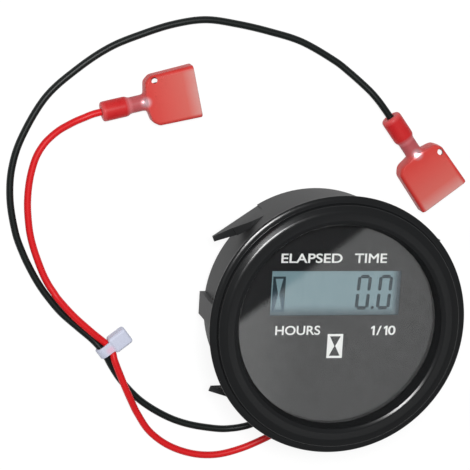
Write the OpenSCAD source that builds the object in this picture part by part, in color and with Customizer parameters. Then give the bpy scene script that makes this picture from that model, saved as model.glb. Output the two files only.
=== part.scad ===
// Round snap-in LCD hour meter, lying on its back with its two leads on the table.
// Millimetres. +Z points out of the display, +X to its right, +Y to its top.
// The origin is on the table, under the middle of the meter.

/* [Bezel] */
// Outside diameter of the rim that covers the panel's hole
bezel_d = 58.4; // [56:0.2:66]
// Height of the bezel above the panel
bezel_h = 4.4; // [3.6:0.1:7]
// Height of the rim's side, up to its ledge
rim_h = 2.6; // [1.6:0.1:3]
// Outside diameter of the ledge's inner corner, at the foot of the raised ring
ring_foot_d = 55.4; // [54:0.1:56.5]
// Outside diameter of the raised ring's flat face
face_d = 53; // [50:0.1:54]
// Opening at the front face
lip_d = 46.8; // [42:0.1:48]
// Opening at the lens
sight_d = 44.8; // [40:0.1:46]
// Depth of the lens below the front face
lens_depth = 2.6; // [1.4:0.1:2.8]

/* [Display] */
// Thickness of the clear lens
lens_t = 1.4; // [1:0.1:1.7]
// Depth of the dial below the lens
dial_gap = 1.8; // [1:0.1:3]
// Thickness of the printed dial plate
dial_t = 0.6; // [0.4:0.1:1]
// Width of the dial's window
window_w = 29.8; // [24:0.2:31]
// Height of the dial's window
window_h = 9.8; // [7:0.2:11]
// Height of the window's middle above the dial's middle
window_y = 6.7; // [4:0.1:7]
// Thickness of one glass of the display cell
glass_t = 1.1; // [0.7:0.1:1.3]
// Width of a contact strip between the display and the board
strip_w = 2; // [1.6:0.1:2.4]

/* [Case] */
// Outside diameter of the case, which passes through the panel's hole
case_d = 52; // [51:0.1:53]
// Length of the case behind the panel's face
case_len = 21.6; // [21:0.2:28]
// Thickness of the case's wall
wall = 1.8; // [1.4:0.1:2.2]
// Thickness of the rear wall
floor_t = 1.6; // [1.2:0.1:2]
// Height of the two foot arcs behind the side walls
foot_h = 4.5; // [3.6:0.1:5.5]
// Half of the angle that a foot arc spans
foot_half = 32; // [28:1:36]
// Height of the side lugs above the case's wall
lug_out = 1.1; // [0.6:0.1:1.6]
// Length of a side lug round the case
lug_w = 5.2; // [3:0.2:7]

/* [Snap wings] */
// Reach of a wing's tip beyond the case's wall
wing_out = 5; // [3.5:0.1:6]
// Angle of a wing's tip from the horizontal middle line
wing_tip_angle = 33; // [30:1:36]
// Height of a wing's tip above the table
wing_tip_z = 12.3; // [10:0.1:14]
// Thickness of a wing
wing_t = 1.2; // [0.9:0.1:1.4]
// Height of the slanted front edge at the wing's root
wing_root_z = 10; // [8:0.1:11]

/* [Electronics] */
// Height of the circuit board's underside above the table
board_z = 11; // [10.4:0.1:11.6]
// Thickness of the circuit board
board_t = 1.6; // [1:0.1:1.6]
// Diameter of the lithium cell
cell_d = 16; // [12:0.5:16]
// Thickness of the lithium cell
cell_h = 2.6; // [1.6:0.1:3.2]

/* [Leads] */
// Outside diameter of a lead
lead_d = 1.6; // [1.2:0.05:1.7]
// Distance between the two leads in the grommet
lead_pitch = 6.2; // [5.6:0.1:6.8]
// Height of the leads in the grommet
exit_z = 3.2; // [3:0.1:3.4]

/* [Connectors] */
// Length of a connector's sleeve
sleeve_l = 22.8; // [21:0.1:25]
// Width of a sleeve's flat housing
sleeve_w = 12.2; // [11:0.1:13]
// Thickness of a sleeve's flat housing
sleeve_h = 4.6; // [4.4:0.1:5.4]
// Diameter of a sleeve's round wire end
barrel_d = 5; // [4.4:0.1:5.4]
// Length of a sleeve's round wire end
barrel_l = 6.4; // [5:0.1:8]
// Width of the blade that the connector takes
tab_w = 6.35; // [6.3:0.05:6.5]
// Thickness of the blade that the connector takes
tab_t = 0.8; // [0.5:0.05:0.9]

/* [Cable tie] */
// Width of the tie's strap
tie_w = 2.4; // [1.8:0.1:3.2]
// Thickness of the tie's strap
tie_t = 0.9; // [0.6:0.1:1.1]
// Side of the tie's square head
tie_head = 3.9; // [3.4:0.1:4.6]

/* [Hidden] */
$fn = 96;

// Clearances: between pieces that drop into each other, and round a wire in its hole.
fit = 0.1;
wire_fit = 0.05;

// Heights of the stack, from the table up
panel_z = case_len;
face_z = panel_z + bezel_h;
ledge_z = panel_z + rim_h;
lens_top = face_z - lens_depth;
lens_z = lens_top - lens_t;
dial_top = lens_z - dial_gap;
dial_z = dial_top - dial_t;
board_top = board_z + board_t;
floor_z = 0.6;
floor_top = floor_z + floor_t;

// Radii, from the outside in
bezel_r = bezel_d / 2;
case_r = case_d / 2;
cavity_r = case_r - wall;
ledge_r = cavity_r - 1.2;
pocket_r = ledge_r - 0.6;
lens_r = case_r - wall / 2;
stack_r = cavity_r - fit;
rim_round = 0.45;
face_round = 0.3;

// Display cell behind the window: the front glass overhangs the rear one at both contact strips.
glass_margin = 2.6;
strip_gap = 0.2;
glass_w = window_w + 2 * glass_margin;
rear_glass_h = window_h + 1;
glass_h = rear_glass_h + 2 * (strip_w + 2 * strip_gap);
glass_top = dial_z - fit;
contact_z = glass_top - glass_t;
rear_glass_z = contact_z - glass_t;
strip_y = rear_glass_h / 2 + strip_gap + strip_w / 2;
strip_l = window_w;
plate_z = rear_glass_z - fit - 1.1;

// Screws of the display frame
screw_r = 0.9;
screw_head_r = 1.7;
screw_head_h = 1.2;
screw_l = 4.6;
boss_r = 2.2;
frame_wall = 1.6;
screw_ring_r = stack_r - frame_wall - boss_r + 0.6;
screw_angles = [200, 240, 300, 340];

// Wings: a straight blade from the end of a foot arc to its tip
wing_set_in = 0.15;
wing_root = (case_r - wing_set_in) * [cos(90 + foot_half), sin(90 + foot_half)];
wing_tip_r = case_r + wing_out;
wing_tip = wing_tip_r * [cos(180 - wing_tip_angle), sin(180 - wing_tip_angle)];
wing_run = norm(wing_tip - wing_root);
wing_heading = atan2(wing_tip[1] - wing_root[1], wing_tip[0] - wing_root[0]);
wing_tip_w = 1.6;
wing_notch = 0.6;
lug_h = 5;

// Leads: two holes side by side in a grommet through the wall near the lower foot arc
exit_angle = 258;
lead_r = lead_d / 2;
exit_out = [cos(exit_angle), sin(exit_angle)];
exit_side = [-sin(exit_angle), cos(exit_angle)];
grommet_h = lead_d + 1.2;
grommet_w = lead_pitch + grommet_h;
grommet_inner = pocket_r - 2;
grommet_outer = case_r + 1;
grommet_flange = 0.5;
tail_run = 1.6;
tail_bend = 1.7;
function lead_exit(side, out) = concat(out * exit_out + side * lead_pitch / 2 * exit_side, [exit_z]);
function past_exit(side, steps) = [for (step = steps) lead_exit(side, grommet_outer + 2 * fit) + step];

// Connectors: place of the wire end and heading, both lying flat on the table
sleeve_z = sleeve_h / 2 + 0.2;
red_end = [-51.6, 42.95];
red_heading = 14;
black_end = [15.5, 43];
black_heading = -52.5;
function lead_end(at, heading, back) = [
    at[0] - back * cos(heading), at[1] - back * sin(heading), sleeve_z
];

// Routes of the leads, chosen along the table from the meter to the connectors
tie_at = [-47.3, -11.3];
tie_heading = 128;
tie_fit = 0.25;
tie_gap = 0.04;
tie_z = lead_r + tie_fit + tie_t;
function tie_point(side) = [
    tie_at[0] + side * (lead_r + tie_gap) * sin(tie_heading),
    tie_at[1] - side * (lead_r + tie_gap) * cos(tie_heading),
    tie_z
];
red_route = concat(
    past_exit(1, [[0, 0, 0], [-0.7, -1.85, 0], [-1.6, -3.35, -0.2], [-3.3, -4.85, -0.9]]),
    [
        [-8.9, -33, 1.4], [-14.5, -35.1, 0.9],
        [-22.5, -36.9, 0.85], [-31, -34.4, 0.85], [-37.6, -28.6, 1.2], [-41.4, -21, 2.6],
        [-43.8, -15, 2.8]
    ],
    [tie_point(1)],
    [
        [-51.4, -6, 1.2], [-57.8, -0.4, 0.85], [-62.4, 6.2, 0.8], [-65, 14, 0.8],
        [-66.1, 22, 0.8], [-65.4, 30, 0.8], [-62.4, 37, 0.9], [-57.6, 40.8, 1.6]
    ],
    [lead_end(red_end, red_heading, 2.6), lead_end(red_end, red_heading, fit)]
);
black_route = concat(
    past_exit(-1, [[0, 0, 0], [-0.85, -2.05, -0.2], [-1.95, -3.25, -0.5], [-3.45, -4.05, -0.9]]),
    [
        [-14.8, -30.4, 1.4], [-20, -30.6, 0.9],
        [-27.5, -29, 0.85], [-34.5, -25.6, 0.85], [-40, -21.8, 0.85], [-44.6, -17.2, 0.95]
    ],
    [tie_point(-1)],
    [
        [-53.6, -6.8, 1], [-59.4, -2, 0.85], [-64.2, 4.4, 0.8], [-67.6, 12, 0.8],
        [-69.8, 20, 0.8], [-70.5, 28, 0.8], [-68.6, 36, 0.8], [-63.8, 44, 0.8],
        [-56.5, 51.6, 0.8], [-48, 58, 0.8], [-39, 62.7, 0.8], [-29, 63.8, 0.8],
        [-19, 62.2, 0.8], [-9.5, 59, 0.8], [-1, 54.8, 0.8], [5.4, 50.6, 1],
        [10.4, 47.2, 1.8]
    ],
    [lead_end(black_end, black_heading, 2.6), lead_end(black_end, black_heading, fit)]
);
lead_sides = 8;
long_span = 4 * lead_d;

// A smooth curve through a route's points, and a tube of flat sides along it
function at_end(i, n) = max(0, min(n - 1, i));
function beyond(route, i) = let (n = len(route))
    i < 0 ? 2 * route[0] - route[1] : i >= n ? 2 * route[n - 1] - route[n - 2] : route[i];
function blend(a, b, c, d, t) =
    0.5 * (2 * b + (c - a) * t + (2 * a - 5 * b + 4 * c - d) * t * t + (3 * b - a - 3 * c + d) * t * t * t);
function span_steps(route, i) = norm(route[i + 1] - route[i]) > long_span ? 2 : 1;
function smooth(route) = let (n = len(route)) concat(
    [
        for (i = [0 : n - 2], k = [0 : span_steps(route, i) - 1])
            blend(
                beyond(route, i - 1), route[i], route[i + 1], beyond(route, i + 2),
                k / span_steps(route, i)
            )
    ],
    [route[n - 1]]
);
function unit(v) = v / norm(v);
function ring_at(path, i, r, sides) = let (
    n = len(path),
    along = unit(path[at_end(i + 1, n)] - path[at_end(i - 1, n)]),
    across = unit(cross(along, [0, 0, 1])),
    up = cross(across, along)
) [
    for (k = [0 : sides - 1])
        path[i] + r * (cos(360 * (k + 0.5) / sides) * across + sin(360 * (k + 0.5) / sides) * up)
];

module tube_along(path, r, sides) {
    n = len(path);
    points = [for (i = [0 : n - 1], p = ring_at(path, i, r, sides)) p];
    walls = [
        for (i = [0 : n - 2], k = [0 : sides - 1])
            [
                i * sides + k,
                i * sides + (k + 1) % sides,
                (i + 1) * sides + (k + 1) % sides,
                (i + 1) * sides + k
            ]
    ];
    first = [for (k = [sides - 1 : -1 : 0]) k];
    last = [for (k = [0 : sides - 1]) (n - 1) * sides + k];
    polyhedron(points = points, faces = concat([first], walls, [last]), convexity = 6);
}

// Quarter of a round from one angle to another, as outline points
function round_points(centre, r, from, to, steps = 6) = [
    for (k = [0 : steps])
        let (a = from + (to - from) * k / steps) centre + r * [cos(a), sin(a)]
];

module sector(r, from, to) {
    far = 2 * r;
    middle = (from + to) / 2;
    polygon([
        [0, 0],
        far * [cos(from), sin(from)],
        far * [cos(middle), sin(middle)],
        far * [cos(to), sin(to)]
    ]);
}

// A flat-sided slot with round ends along X, as a solid along Z
module round_slot(length, width, height) {
    reach = (length - width) / 2;
    for (side = [-1, 1])
        translate([side * reach, 0, 0])
            cylinder(d = width, h = height);
    translate([-reach, -width / 2, 0])
        cube([2 * reach, width, height]);
}

// Stepped black rim: panel flange, ledge, raised ring and tapered opening over the lens
module bezel() {
    side = [bezel_r - rim_round, ledge_z - rim_round];
    crown = [face_d / 2 - face_round, face_z - face_round];
    outline = concat(
        [[lens_r + fit, panel_z], [bezel_r, panel_z]],
        round_points(side, rim_round, 0, 90),
        [[ring_foot_d / 2, ledge_z]],
        round_points(crown, face_round, 35, 90),
        [[lip_d / 2 + 0.3, face_z], [lip_d / 2, face_z - 0.3]],
        [[sight_d / 2, lens_top], [lens_r + fit, lens_top]]
    );
    color("#232426")
        rotate_extrude()
            polygon(outline);
}

// Clear flat disc held between the bezel's lip and the case's spigot
module lens() {
    color("#e4ecee", 0.35)
        translate([0, 0, lens_z])
            cylinder(r = lens_r, h = lens_t);
}

// Black ring that keeps the dial down under the lens
module spacer_ring() {
    color("#1c1d1f")
        translate([0, 0, dial_top])
            difference() {
                cylinder(r = stack_r, h = dial_gap);
                translate([0, 0, -1])
                    cylinder(r = sight_d / 2 + 0.5, h = dial_gap + 2);
            }
}

// Printed dial with the display's window
module dial_plate() {
    color("#2b2c2e")
        translate([0, 0, dial_z])
            difference() {
                cylinder(r = stack_r, h = dial_t);
                translate([-window_w / 2, window_y - window_h / 2, -1])
                    cube([window_w, window_h, dial_t + 2]);
            }
}

// Two bonded glasses; the front one is taller and carries the contacts on its rear face
module lcd_cell() {
    color("#9fb3b8") {
        translate([-glass_w / 2, window_y - glass_h / 2, contact_z])
            cube([glass_w, glass_h, glass_t]);
        translate([-glass_w / 2, window_y - rear_glass_h / 2, rear_glass_z])
            cube([glass_w, rear_glass_h, glass_t]);
    }
}

// Moulded carrier between the board and the dial, with the display's stepped pocket
module display_frame() {
    color("#d9d9d2")
        difference() {
            union() {
                difference() {
                    translate([0, 0, board_top])
                        cylinder(r = stack_r, h = dial_z - board_top);
                    translate([0, 0, board_top - 1])
                        cylinder(r = stack_r - frame_wall, h = plate_z - board_top + 1);
                }
                for (a = screw_angles)
                    rotate(a)
                        translate([screw_ring_r, 0, board_top])
                            rotate(180)
                                cylinder(r = boss_r, h = plate_z - board_top + 0.5);
            }
            translate([-glass_w / 2 - fit, window_y - glass_h / 2 - fit, contact_z - fit])
                cube([glass_w + 2 * fit, glass_h + 2 * fit, dial_z - contact_z + 1]);
            translate([-glass_w / 2 - fit, window_y - rear_glass_h / 2 - fit, rear_glass_z - fit])
                cube([glass_w + 2 * fit, rear_glass_h + 2 * fit, 2 * glass_t]);
            for (side = [-1, 1])
                translate([-strip_l / 2 - fit, window_y + side * strip_y - strip_w / 2 - fit, board_top - 1])
                    cube([strip_l + 2 * fit, strip_w + 2 * fit, contact_z - board_top + 1]);
            for (a = screw_angles)
                rotate(a)
                    translate([screw_ring_r, 0, board_top - 1])
                        cylinder(r = screw_r, h = screw_l - board_t + 1.3);
        }
}

// Conductive rubber strip from the board to the display's contacts
module contact_strip(side) {
    color("#6f7478")
        translate([-strip_l / 2, window_y + side * strip_y - strip_w / 2, board_top])
            cube([strip_l, strip_w, contact_z - board_top]);
}

module upper_contact_strip() {
    contact_strip(1);
}

module lower_contact_strip() {
    contact_strip(-1);
}

// Pan-head screws that clamp the frame, strips and display to the board
module frame_screws() {
    color("#b9bdc2")
        for (a = screw_angles)
            rotate(a)
                translate([screw_ring_r, 0, board_z]) {
                    cylinder(r = screw_r, h = screw_l);
                    translate([0, 0, -screw_head_h])
                        difference() {
                            cylinder(r = screw_head_r, h = screw_head_h);
                            translate([-0.25, -2, -0.1])
                                cube([0.5, 4, 0.6]);
                        }
                }
}

// Round board on the case's inner ledge
module circuit_board() {
    color("#2f6b45")
        translate([0, 0, board_z])
            difference() {
                cylinder(r = stack_r, h = board_t);
                for (a = screw_angles)
                    rotate(a)
                        translate([screw_ring_r, 0, -1])
                            cylinder(r = screw_r + wire_fit, h = board_t + 2);
            }
}

// A small body with legs or end caps, hanging under the board
module under_board(place, size) {
    translate([place[0] - size[0] / 2, place[1] - size[1] / 2, board_z - size[2]])
        cube(size);
}

// Gull-wing package: a body with a row of legs on both long sides
module leaded_chip(place, size, legs, pitch) {
    stand_off = 0.2;
    translate([place[0] - size[0] / 2, place[1] - size[1] / 2, board_z - stand_off - size[2]])
        cube(size);
    for (side = [-1, 1], k = [0 : legs - 1])
        translate([
            place[0] + (k - (legs - 1) / 2) * pitch - 0.2,
            place[1] + side * (size[1] / 2 + 0.45) - 0.5,
            board_z - size[2] / 2
        ])
            cube([0.4, 1, size[2] / 2]);
}

module controller_chip() {
    color("#26272a")
        leaded_chip([10, 8.5], [12.6, 7.5, 2.2], 9, 1.27);
}

module memory_chip() {
    color("#26272a")
        leaded_chip([12.5, -0.5], [4.9, 3.9, 1.5], 4, 1.27);
}

// Flat crystal can with a lipped base
module quartz_crystal() {
    color("#c4c7ca") {
        under_board([4, -1.5], [7.4, 3.4, 2.4]);
        under_board([4, -1.5], [8, 4, 0.6]);
    }
}

// Lithium coin cell that keeps the count on show with the leads unplugged
cell_at = [-8.6, 7.6];
tab_metal = 0.2;
tab_strip = 3;
module lithium_cell() {
    color("#c9cccf")
        translate([cell_at[0], cell_at[1], board_z - tab_metal - cell_h]) {
            cylinder(d = cell_d, h = cell_h - 0.5);
            translate([0, 0, cell_h - 0.5])
                cylinder(d = cell_d - 2.4, h = 0.5);
        }
}

// Welded strips from the cell's two faces to the board
module cell_tabs() {
    foot_y = cell_at[1] - cell_d / 2 - 1.4;
    low_z = board_z - 2 * tab_metal - cell_h;
    color("#dcdedf") {
        translate([cell_at[0] - tab_strip / 2, cell_at[1] - 2, board_z - tab_metal])
            cube([tab_strip, cell_d / 2 + 3, tab_metal]);
        translate([cell_at[0] - tab_strip / 2, foot_y, low_z])
            cube([tab_strip, cell_d / 2 + 3.4, tab_metal]);
        translate([cell_at[0] - tab_strip / 2, foot_y, low_z])
            cube([tab_strip, tab_metal, board_z - low_z]);
    }
}

// Aluminium can on its square base
module filter_capacitor() {
    color("#b7bbc0") {
        translate([-13.4, -6.6, board_z - 5.4])
            cylinder(d = 6.3, h = 5);
        under_board([-13.4, -6.6], [6.6, 6.6, 0.6]);
    }
}

// Disc that soaks up surges on the supply
module surge_varistor() {
    color("#2c5a9c")
        translate([12.4, -9.4, board_z - 3])
            cylinder(d = 7, h = 3);
}

// Moulded rectifier with its two end legs
module input_diode() {
    color("#232427") {
        under_board([1.5, -13.5], [4.4, 2.6, 2.2]);
        under_board([1.5, -13.5], [5.2, 1.4, 0.8]);
    }
}

// Row of chip resistors that drop the supply voltage
module chip_resistors() {
    color("#3a3a3c")
        for (k = [0 : 3])
            under_board([-5.4 + 4 * k, -8.4], [1.6, 3.2, 0.6]);
}

// Blade's side view: slanted rear edge, narrow tip and a front edge with one catch
module wing_outline() {
    slit = 0.3 * wing_run;
    notch = 0.63 * wing_run;
    notch_z = wing_root_z + (wing_tip_z - wing_root_z) * 0.9;
    polygon([
        [-1.5, 0],
        [-0.4, 0],
        [wing_run, wing_tip_z - wing_tip_w / 2],
        [wing_run, wing_tip_z + wing_tip_w / 2],
        [notch + 0.2, notch_z - wing_notch],
        [notch, notch_z],
        [slit, wing_root_z],
        [-1.5, wing_root_z - 1]
    ]);
}

module wing() {
    translate([wing_root[0], wing_root[1], 0])
        rotate(wing_heading)
            rotate([90, 0, 0])
                mirror([0, 0, 1])
                    linear_extrude(wing_t)
                        wing_outline();
}

// Stop beside the case at the height of the side walls' rear edge
module lug() {
    inner = case_r - wall / 2;
    outer = case_r + lug_out;
    translate([0, 0, foot_h])
        linear_extrude(lug_h)
            polygon([
                [-inner, lug_w / 2 + 0.5],
                [-outer, lug_w / 2 + 0.5],
                [-outer, 0.5 - lug_w / 2],
                [-outer + lug_out + 0.5, -lug_w / 2 - lug_out],
                [-inner, -lug_w / 2 - lug_out]
            ]);
}

// One moulding: round cup with two foot arcs, four spring wings and two lugs
module case() {
    color("#3b3c3d")
        difference() {
            union() {
                difference() {
                    cylinder(r = case_r, h = panel_z);
                    for (turn = [0, 180])
                        rotate(turn)
                            translate([0, 0, -1])
                                linear_extrude(foot_h + 1)
                                    difference() {
                                        sector(case_r, foot_half - 90, 90 - foot_half);
                                        circle(r = cavity_r);
                                    }
                    translate([0, 0, -1])
                        cylinder(r = cavity_r - 0.8, h = floor_z + 1);
                }
                lens_spigot();
                for (flip_x = [0, 1], flip_y = [0, 1])
                    mirror([flip_x, 0, 0])
                        mirror([0, flip_y, 0])
                            wing();
                for (flip_x = [0, 1])
                    mirror([flip_x, 0, 0])
                        lug();
            }
            translate([0, 0, floor_top])
                cylinder(r = pocket_r, h = case_len);
            translate([0, 0, foot_h + 1])
                cylinder(r = ledge_r, h = case_len);
            translate([0, 0, board_z])
                cylinder(r = cavity_r, h = case_len);
            at_exit(grommet_inner)
                round_slot(grommet_w, grommet_h, grommet_outer - grommet_inner + 1);
        }
}

// Low ring that carries the lens and centres the bezel
module lens_spigot() {
    translate([0, 0, panel_z - 1])
        cylinder(r = lens_r, h = lens_z - panel_z + 1);
}

// Places its children along the leads' way out: X across the pair, Z outwards
module at_exit(out) {
    translate([out * exit_out[0], out * exit_out[1], exit_z])
        rotate(exit_angle + 90)
            rotate([90, 0, 0])
                children();
}

// Rubber strain relief: stadium plug through the wall, outer flange and one hole for each lead
module lead_grommet() {
    color("#1a1b1c")
        difference() {
            union() {
                at_exit(grommet_inner)
                    round_slot(grommet_w, grommet_h, case_r - grommet_inner);
                at_exit(case_r)
                    round_slot(
                        grommet_w + 2 * grommet_flange, grommet_h + 2 * grommet_flange, grommet_outer - case_r
                    );
            }
            for (side = [-1, 1])
                at_exit(grommet_inner - 1)
                    translate([side * lead_pitch / 2, 0, 0])
                        cylinder(r = lead_r + wire_fit, h = grommet_outer - grommet_inner + 2);
        }
}

// Lead inside the case: through the grommet, round a bend and up to its pad on the board
module lead_tail(side) {
    at_exit(grommet_inner - tail_run)
        translate([side * lead_pitch / 2, 0, 0]) {
            cylinder(r = lead_r, h = grommet_outer - grommet_inner + tail_run);
            translate([0, tail_bend, 0])
                rotate([-90, 0, 0])
                    rotate([0, 90, 0])
                        rotate_extrude(angle = 90)
                            translate([tail_bend, 0])
                                circle(r = lead_r);
            translate([0, tail_bend, -tail_bend])
                rotate([-90, 0, 0])
                    cylinder(r = lead_r, h = board_z - exit_z - tail_bend);
        }
}

module red_lead_tail() {
    color("#cf2b2e")
        lead_tail(1);
}

module black_lead_tail() {
    color("#1f2223")
        lead_tail(-1);
}

module red_lead() {
    color("#cf2b2e")
        tube_along(smooth(red_route), lead_r, lead_sides);
}

module black_lead() {
    color("#1f2223")
        tube_along(smooth(black_route), lead_r, lead_sides);
}

// Nylon tie: a closed loop round both leads and a square head with its cut tail
module cable_tie() {
    hole_w = 4 * lead_r + 2 * tie_gap + 2 * tie_fit;
    hole_h = lead_d + 2 * tie_fit;
    head_h = 3.2;
    color("#d4d6e2")
        translate([tie_at[0], tie_at[1], tie_z])
            rotate(tie_heading - 90)
                rotate([-90, 0, 0])
                    translate([0, 0, -tie_w / 2])
                        difference() {
                            union() {
                                round_slot(hole_w + 2 * tie_t, hole_h + 2 * tie_t, tie_w);
                                translate([hole_w / 2 + 0.1, -head_h / 2, (tie_w - tie_head) / 2])
                                    cube([tie_head, head_h, tie_head]);
                            }
                            translate([0, 0, -2])
                                round_slot(hole_w, hole_h, tie_w + 4);
                        }
}

// Sizes inside a connector, along its length from the wire end
neck_l = 4.2;
neck_d = 4;
housing_l = sleeve_l - barrel_l - neck_l;
housing_at = barrel_l + neck_l;
shoulder = 1.6;
sleeve_wall = 0.8;
crimp_r = barrel_d / 2 - sleeve_wall;
socket_w = tab_w + 1.5;
metal = 0.4;
curl_r = 0.6;
socket_l = housing_l - 3;
socket_at = housing_at + 1.6;

// Turns a connector, modelled along X, to its place on the table
module at_connector(place, heading) {
    translate([place[0], place[1], sleeve_z])
        rotate(heading)
            children();
}

module housing_outline(inset) {
    half = sleeve_w / 2 - inset;
    start = housing_at + inset;
    polygon([
        [start, half - shoulder],
        [start + shoulder, half],
        [sleeve_l + (inset > 0 ? 1 : 0), half],
        [sleeve_l + (inset > 0 ? 1 : 0), -half],
        [start + shoulder, -half],
        [start, shoulder - half]
    ]);
}

// Insulating sleeve: round wire end, narrow neck and flat housing open at its mouth
module sleeve() {
    difference() {
        union() {
            rotate([0, 90, 0])
                cylinder(d = barrel_d, h = barrel_l);
            translate([barrel_l - 0.5, 0, 0])
                rotate([0, 90, 0])
                    cylinder(d = neck_d, h = neck_l + 1.5);
            translate([0, 0, -sleeve_h / 2])
                linear_extrude(sleeve_h)
                    housing_outline(0);
        }
        translate([0, 0, -sleeve_h / 2 + sleeve_wall])
            linear_extrude(sleeve_h - 2 * sleeve_wall)
                housing_outline(sleeve_wall);
        translate([0.6, 0, 0])
            rotate([0, 90, 0])
                cylinder(r = crimp_r + wire_fit, h = barrel_l - 0.6);
        translate([barrel_l - 1, -1.4 - fit, -metal / 2 - fit])
            cube([neck_l + 3, 2.8 + 2 * fit, metal + 2 * fit]);
        translate([housing_at + 3.3, sleeve_w / 2 - 1.4, -sleeve_h])
            cylinder(d = 1.3, h = 2 * sleeve_h, $fn = 24);
    }
}

// Folded metal receptacle: crimp barrel, flat neck, floor and two curled sides
module terminal() {
    curl_y = socket_w / 2 - curl_r - metal;
    difference() {
        union() {
            translate([0.8, 0, 0])
                rotate([0, 90, 0])
                    cylinder(r = crimp_r, h = barrel_l - 1);
            translate([barrel_l - 0.6, -1.4, -metal / 2])
                cube([socket_at - barrel_l + 1, 2.8, metal]);
            translate([socket_at, -socket_w / 2 + metal, -tab_t / 2 - metal])
                cube([socket_l, socket_w - 2 * metal, metal]);
            for (side = [-1, 1])
                translate([socket_at, side * curl_y, 0])
                    rotate([0, 90, 0])
                        cylinder(r = tab_t / 2 + metal, h = socket_l);
            translate([socket_at, -1.4, -tab_t / 2 - metal])
                cube([1.2, 2.8, tab_t / 2 + metal]);
        }
        translate([socket_at + 1.2, -tab_w / 2 - 0.05, -tab_t / 2])
            cube([socket_l, tab_w + 0.1, tab_t]);
        translate([socket_at + socket_l * 0.55, 0, -2])
            cylinder(d = 1.4, h = 4, $fn = 24);
    }
}

module red_lead_sleeve() {
    color("#dd4a45", 0.8)
        at_connector(red_end, red_heading)
            sleeve();
}

module red_lead_terminal() {
    color("#c9c6bb")
        at_connector(red_end, red_heading)
            terminal();
}

module black_lead_sleeve() {
    color("#dd4a45", 0.8)
        at_connector(black_end, black_heading)
            sleeve();
}

module black_lead_terminal() {
    color("#c9c6bb")
        at_connector(black_end, black_heading)
            terminal();
}

bezel();
lens();
spacer_ring();
dial_plate();
lcd_cell();
display_frame();
upper_contact_strip();
lower_contact_strip();
frame_screws();
circuit_board();
controller_chip();
memory_chip();
quartz_crystal();
lithium_cell();
cell_tabs();
filter_capacitor();
surge_varistor();
input_diode();
chip_resistors();
case();
lead_grommet();
red_lead_tail();
black_lead_tail();
red_lead();
black_lead();
cable_tie();
red_lead_terminal();
red_lead_sleeve();
black_lead_terminal();
black_lead_sleeve();
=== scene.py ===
"""Round LCD hour meter lying on its back, with its leads, tie and two insulated connectors."""

import math

import bmesh
import bpy
from mathutils import Matrix, Vector


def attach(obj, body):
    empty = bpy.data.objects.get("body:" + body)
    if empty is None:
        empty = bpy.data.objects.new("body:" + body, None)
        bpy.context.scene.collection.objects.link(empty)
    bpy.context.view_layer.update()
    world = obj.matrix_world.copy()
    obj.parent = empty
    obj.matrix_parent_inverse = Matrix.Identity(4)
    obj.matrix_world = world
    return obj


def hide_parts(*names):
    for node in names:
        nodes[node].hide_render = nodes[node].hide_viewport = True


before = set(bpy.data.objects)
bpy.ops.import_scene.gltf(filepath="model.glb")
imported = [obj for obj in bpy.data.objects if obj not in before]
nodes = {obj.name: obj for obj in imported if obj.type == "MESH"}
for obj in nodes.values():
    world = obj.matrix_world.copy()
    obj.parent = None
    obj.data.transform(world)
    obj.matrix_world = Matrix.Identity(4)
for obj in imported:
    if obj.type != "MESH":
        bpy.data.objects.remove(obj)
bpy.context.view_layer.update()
scene = bpy.context.scene
scene.view_settings.view_transform = "Standard"

# Camera: a long lens above the display's upper left, half a metre from the table.
# Its axes and its aim are those of the photograph.
camera_data = bpy.data.cameras.new("camera")
camera_data.sensor_width = 36
camera_data.lens = 168.96
camera_data.clip_start = 0.01
camera = bpy.data.objects.new("camera", camera_data)
scene.collection.objects.link(camera)
picture_right = Vector((0.96994, 0.05555, 0.2369))
picture_up = Vector((-0.00184, 0.97524, -0.22115))
towards_eye = Vector((-0.24332, 0.21406, 0.94603))
aim = Vector((-0.0184, 0.01491, -0.00035))
camera_axes = Matrix((picture_right, picture_up, towards_eye)).transposed().to_4x4()
camera.matrix_world = Matrix.Translation(aim + 0.5 * towards_eye) @ camera_axes
scene.camera = camera


# Leads: stranded copper in extruded PVC, 1.6 mm over the insulation. They leave the grommet at the
# meter's lower left, lie on the table, share one tie and end inside a connector each.
def hex_linear(code):
    """The linear colour of an sRGB hex value."""
    channels = [int(code[i : i + 2], 16) / 255 for i in (1, 3, 5)]
    linear = [c / 12.92 if c <= 0.04045 else ((c + 0.055) / 1.055) ** 2.4 for c in channels]
    return (*linear, 1.0)


def add_node(tree, kind, inputs=None, **settings):
    """Adds a node with its settings, and fills each input with a value or a link."""
    node = tree.nodes.new(kind)
    for name, value in settings.items():
        setattr(node, name, value)
    for name, value in (inputs or {}).items():
        if isinstance(value, bpy.types.NodeSocket):
            tree.links.new(value, node.inputs[name])
        else:
            node.inputs[name].default_value = value
    return node


def start_finish(name, roughness, ior):
    """A new material: its node tree, its Principled shader and its Object coordinates."""
    material = bpy.data.materials.new(name)
    material.use_nodes = True
    tree = material.node_tree
    shader = tree.nodes["Principled BSDF"]
    shader.inputs["Roughness"].default_value = roughness
    shader.inputs["IOR"].default_value = ior
    place = add_node(tree, "ShaderNodeTexCoord").outputs["Object"]
    return material, tree, shader, place


def mix_tones(tree, factor, low, high):
    """A colour between two tones, each a hex value or a link, by a factor from 0 to 1."""
    tones = [hex_linear(tone) if isinstance(tone, str) else tone for tone in (low, high)]
    mix = add_node(tree, "ShaderNodeMix", {0: factor, 6: tones[0], 7: tones[1]}, data_type="RGBA")
    return mix.outputs[2]


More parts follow.
